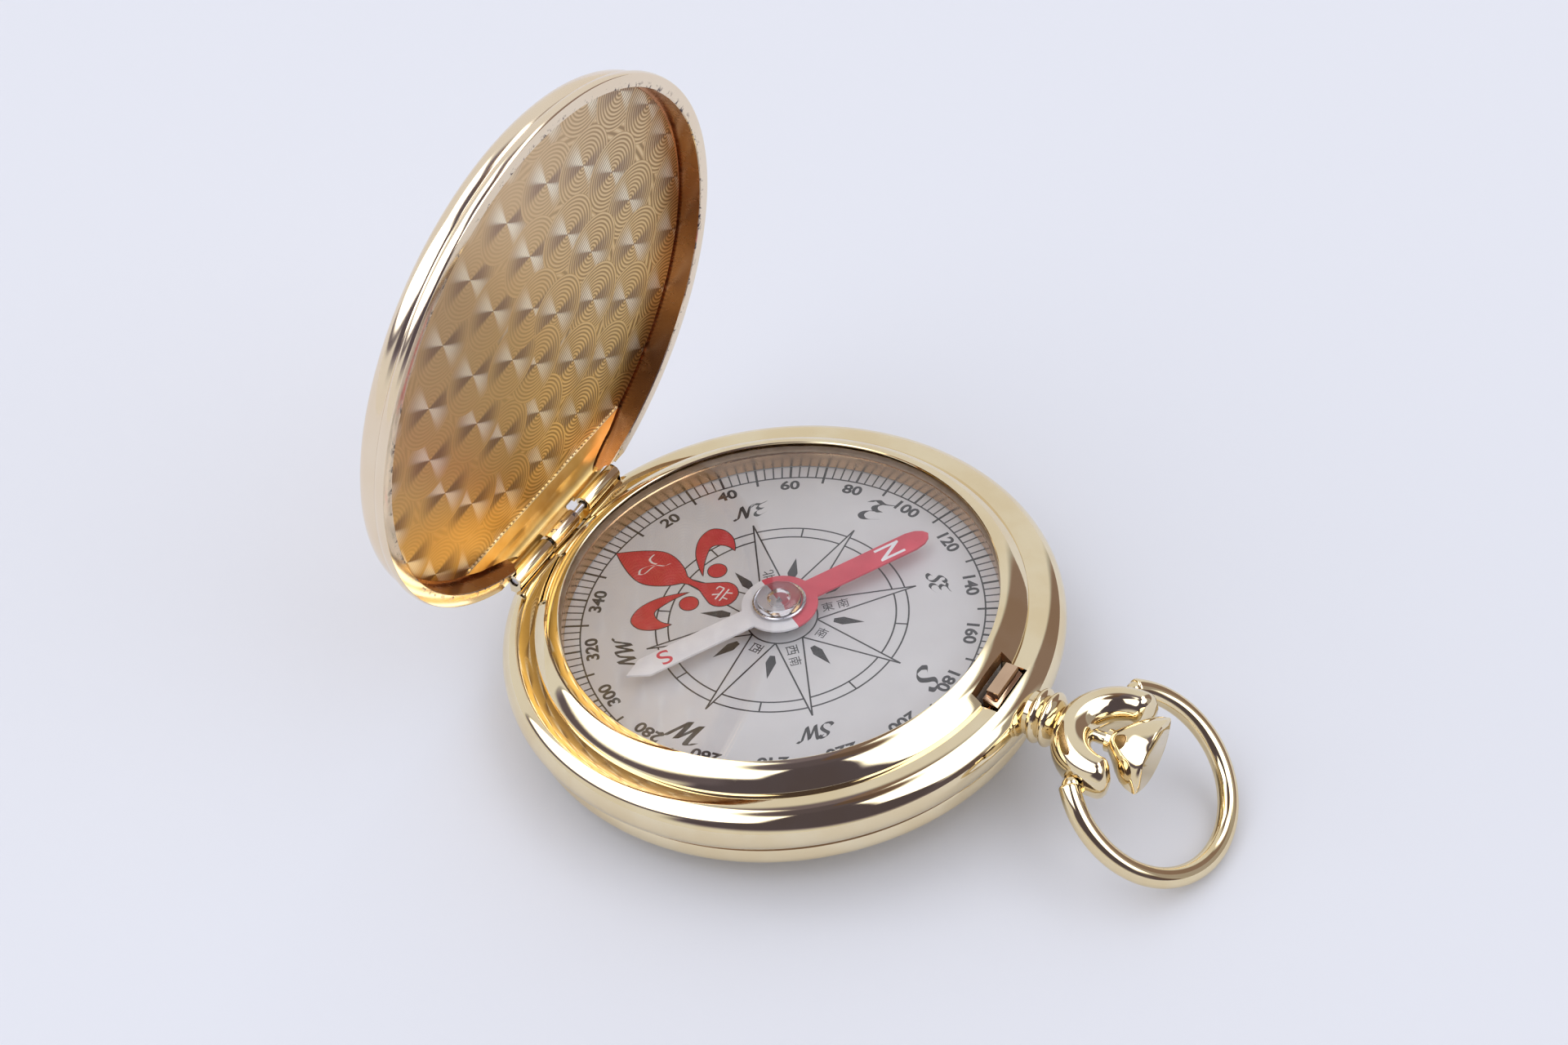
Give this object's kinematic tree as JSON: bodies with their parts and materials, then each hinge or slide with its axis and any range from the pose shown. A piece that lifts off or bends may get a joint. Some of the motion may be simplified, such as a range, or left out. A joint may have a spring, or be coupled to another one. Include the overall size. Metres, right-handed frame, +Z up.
{
  "type": "pocket watch compass",
  "caption": "Round gold pocket compass lying open: hinged domed lid, glazed dial with a turning needle, push crown that frees the lid, and a swinging bow",
  "frame": {"origin": "Middle of the small flat on the domed back that the open case rests on, at table height.", "axes": "+Z up from the table; +X from the lid and its hinge towards the pendant and bow, level with the table; +Y along the hinge. The case leans 4 degrees towards its open lid."},
  "size_m": [0.0633, 0.045, 0.0498],
  "materials": {
    "polished_gold": "polished",
    "satin_gold": "satin",
    "engine_turned_gold": "satin",
    "brass": "satin",
    "steel": "satin",
    "glass": "polished",
    "clear_plastic": "gloss",
    "cup_plastic": "matte",
    "rubber": "matte",
    "dial_card": "satin",
    "needle_paint": "satin",
    "ferrite": "matte"
  },
  "bodies": {
    "case": {"case_band": "polished_gold", "back_cover": "polished_gold", "bezel": "polished_gold", "crystal": "glass", "crystal_gasket": "rubber", "rehaut_ring": "satin_gold", "dial": "dial_card", "compass_cup": "cup_plastic", "cup_spacer": "cup_plastic", "pivot_post": "brass", "pivot_point": "steel", "case_knuckle_near": "polished_gold", "case_knuckle_far": "polished_gold", "hinge_pin": "steel", "lift_spring": "steel", "lift_screw": "steel", "catch_screw": "steel", "pendant_neck": "polished_gold", "bow_yoke": "polished_gold"},
    "lid": {"lid_shell": "polished_gold", "lid_liner": "engine_turned_gold", "lid_hinge_bar": "satin_gold", "lid_knuckle": "polished_gold"},
    "needle": {"needle_blade": "needle_paint", "needle_magnet": "ferrite", "needle_cap": "clear_plastic", "needle_cap_ring": "steel"},
    "push": {"crown": "polished_gold", "crown_stem": "steel"},
    "catch": {"catch_spring": "steel"},
    "bow": {"bow": "polished_gold"}
  },
  "joints": [
    {"name": "lid_hinge", "type": "hinge", "parent": "case", "child": "lid", "pos_m": [-0.01381, 0, 0.00703], "axis": [0, 1, 0], "range_deg": [0, 81.4], "stiffness_Nm_per_rad": 0.004, "springref_deg": -20.05},
    {"name": "needle_spin", "type": "hinge", "parent": "case", "child": "needle", "pos_m": [0.0069, 0, 0.00832], "axis": [-0.0698, 0, 0.9976], "continuous": true},
    {"name": "crown_push", "type": "slide", "parent": "case", "child": "push", "axis": [-0.9976, 0, -0.0698], "range_m": [0, 0.0006], "stiffness_N_per_m": 400, "springref_m": -0.0003},
    {"name": "catch_release", "type": "hinge", "parent": "case", "child": "catch", "pos_m": [0.01632, -0.01744, 0.00658], "axis": [-0.0698, 0, 0.9976], "range_deg": [0, 3]},
    {"name": "bow_swing", "type": "hinge", "parent": "case", "child": "bow", "pos_m": [0.0354, 0, 0.00831], "axis": [0, -1, 0], "range_deg": [-43, 126]}
  ],
  "couplings": [
    {"joint": "catch_release", "follows": "crown_push", "rad_per_m": 57.345}
  ]
}
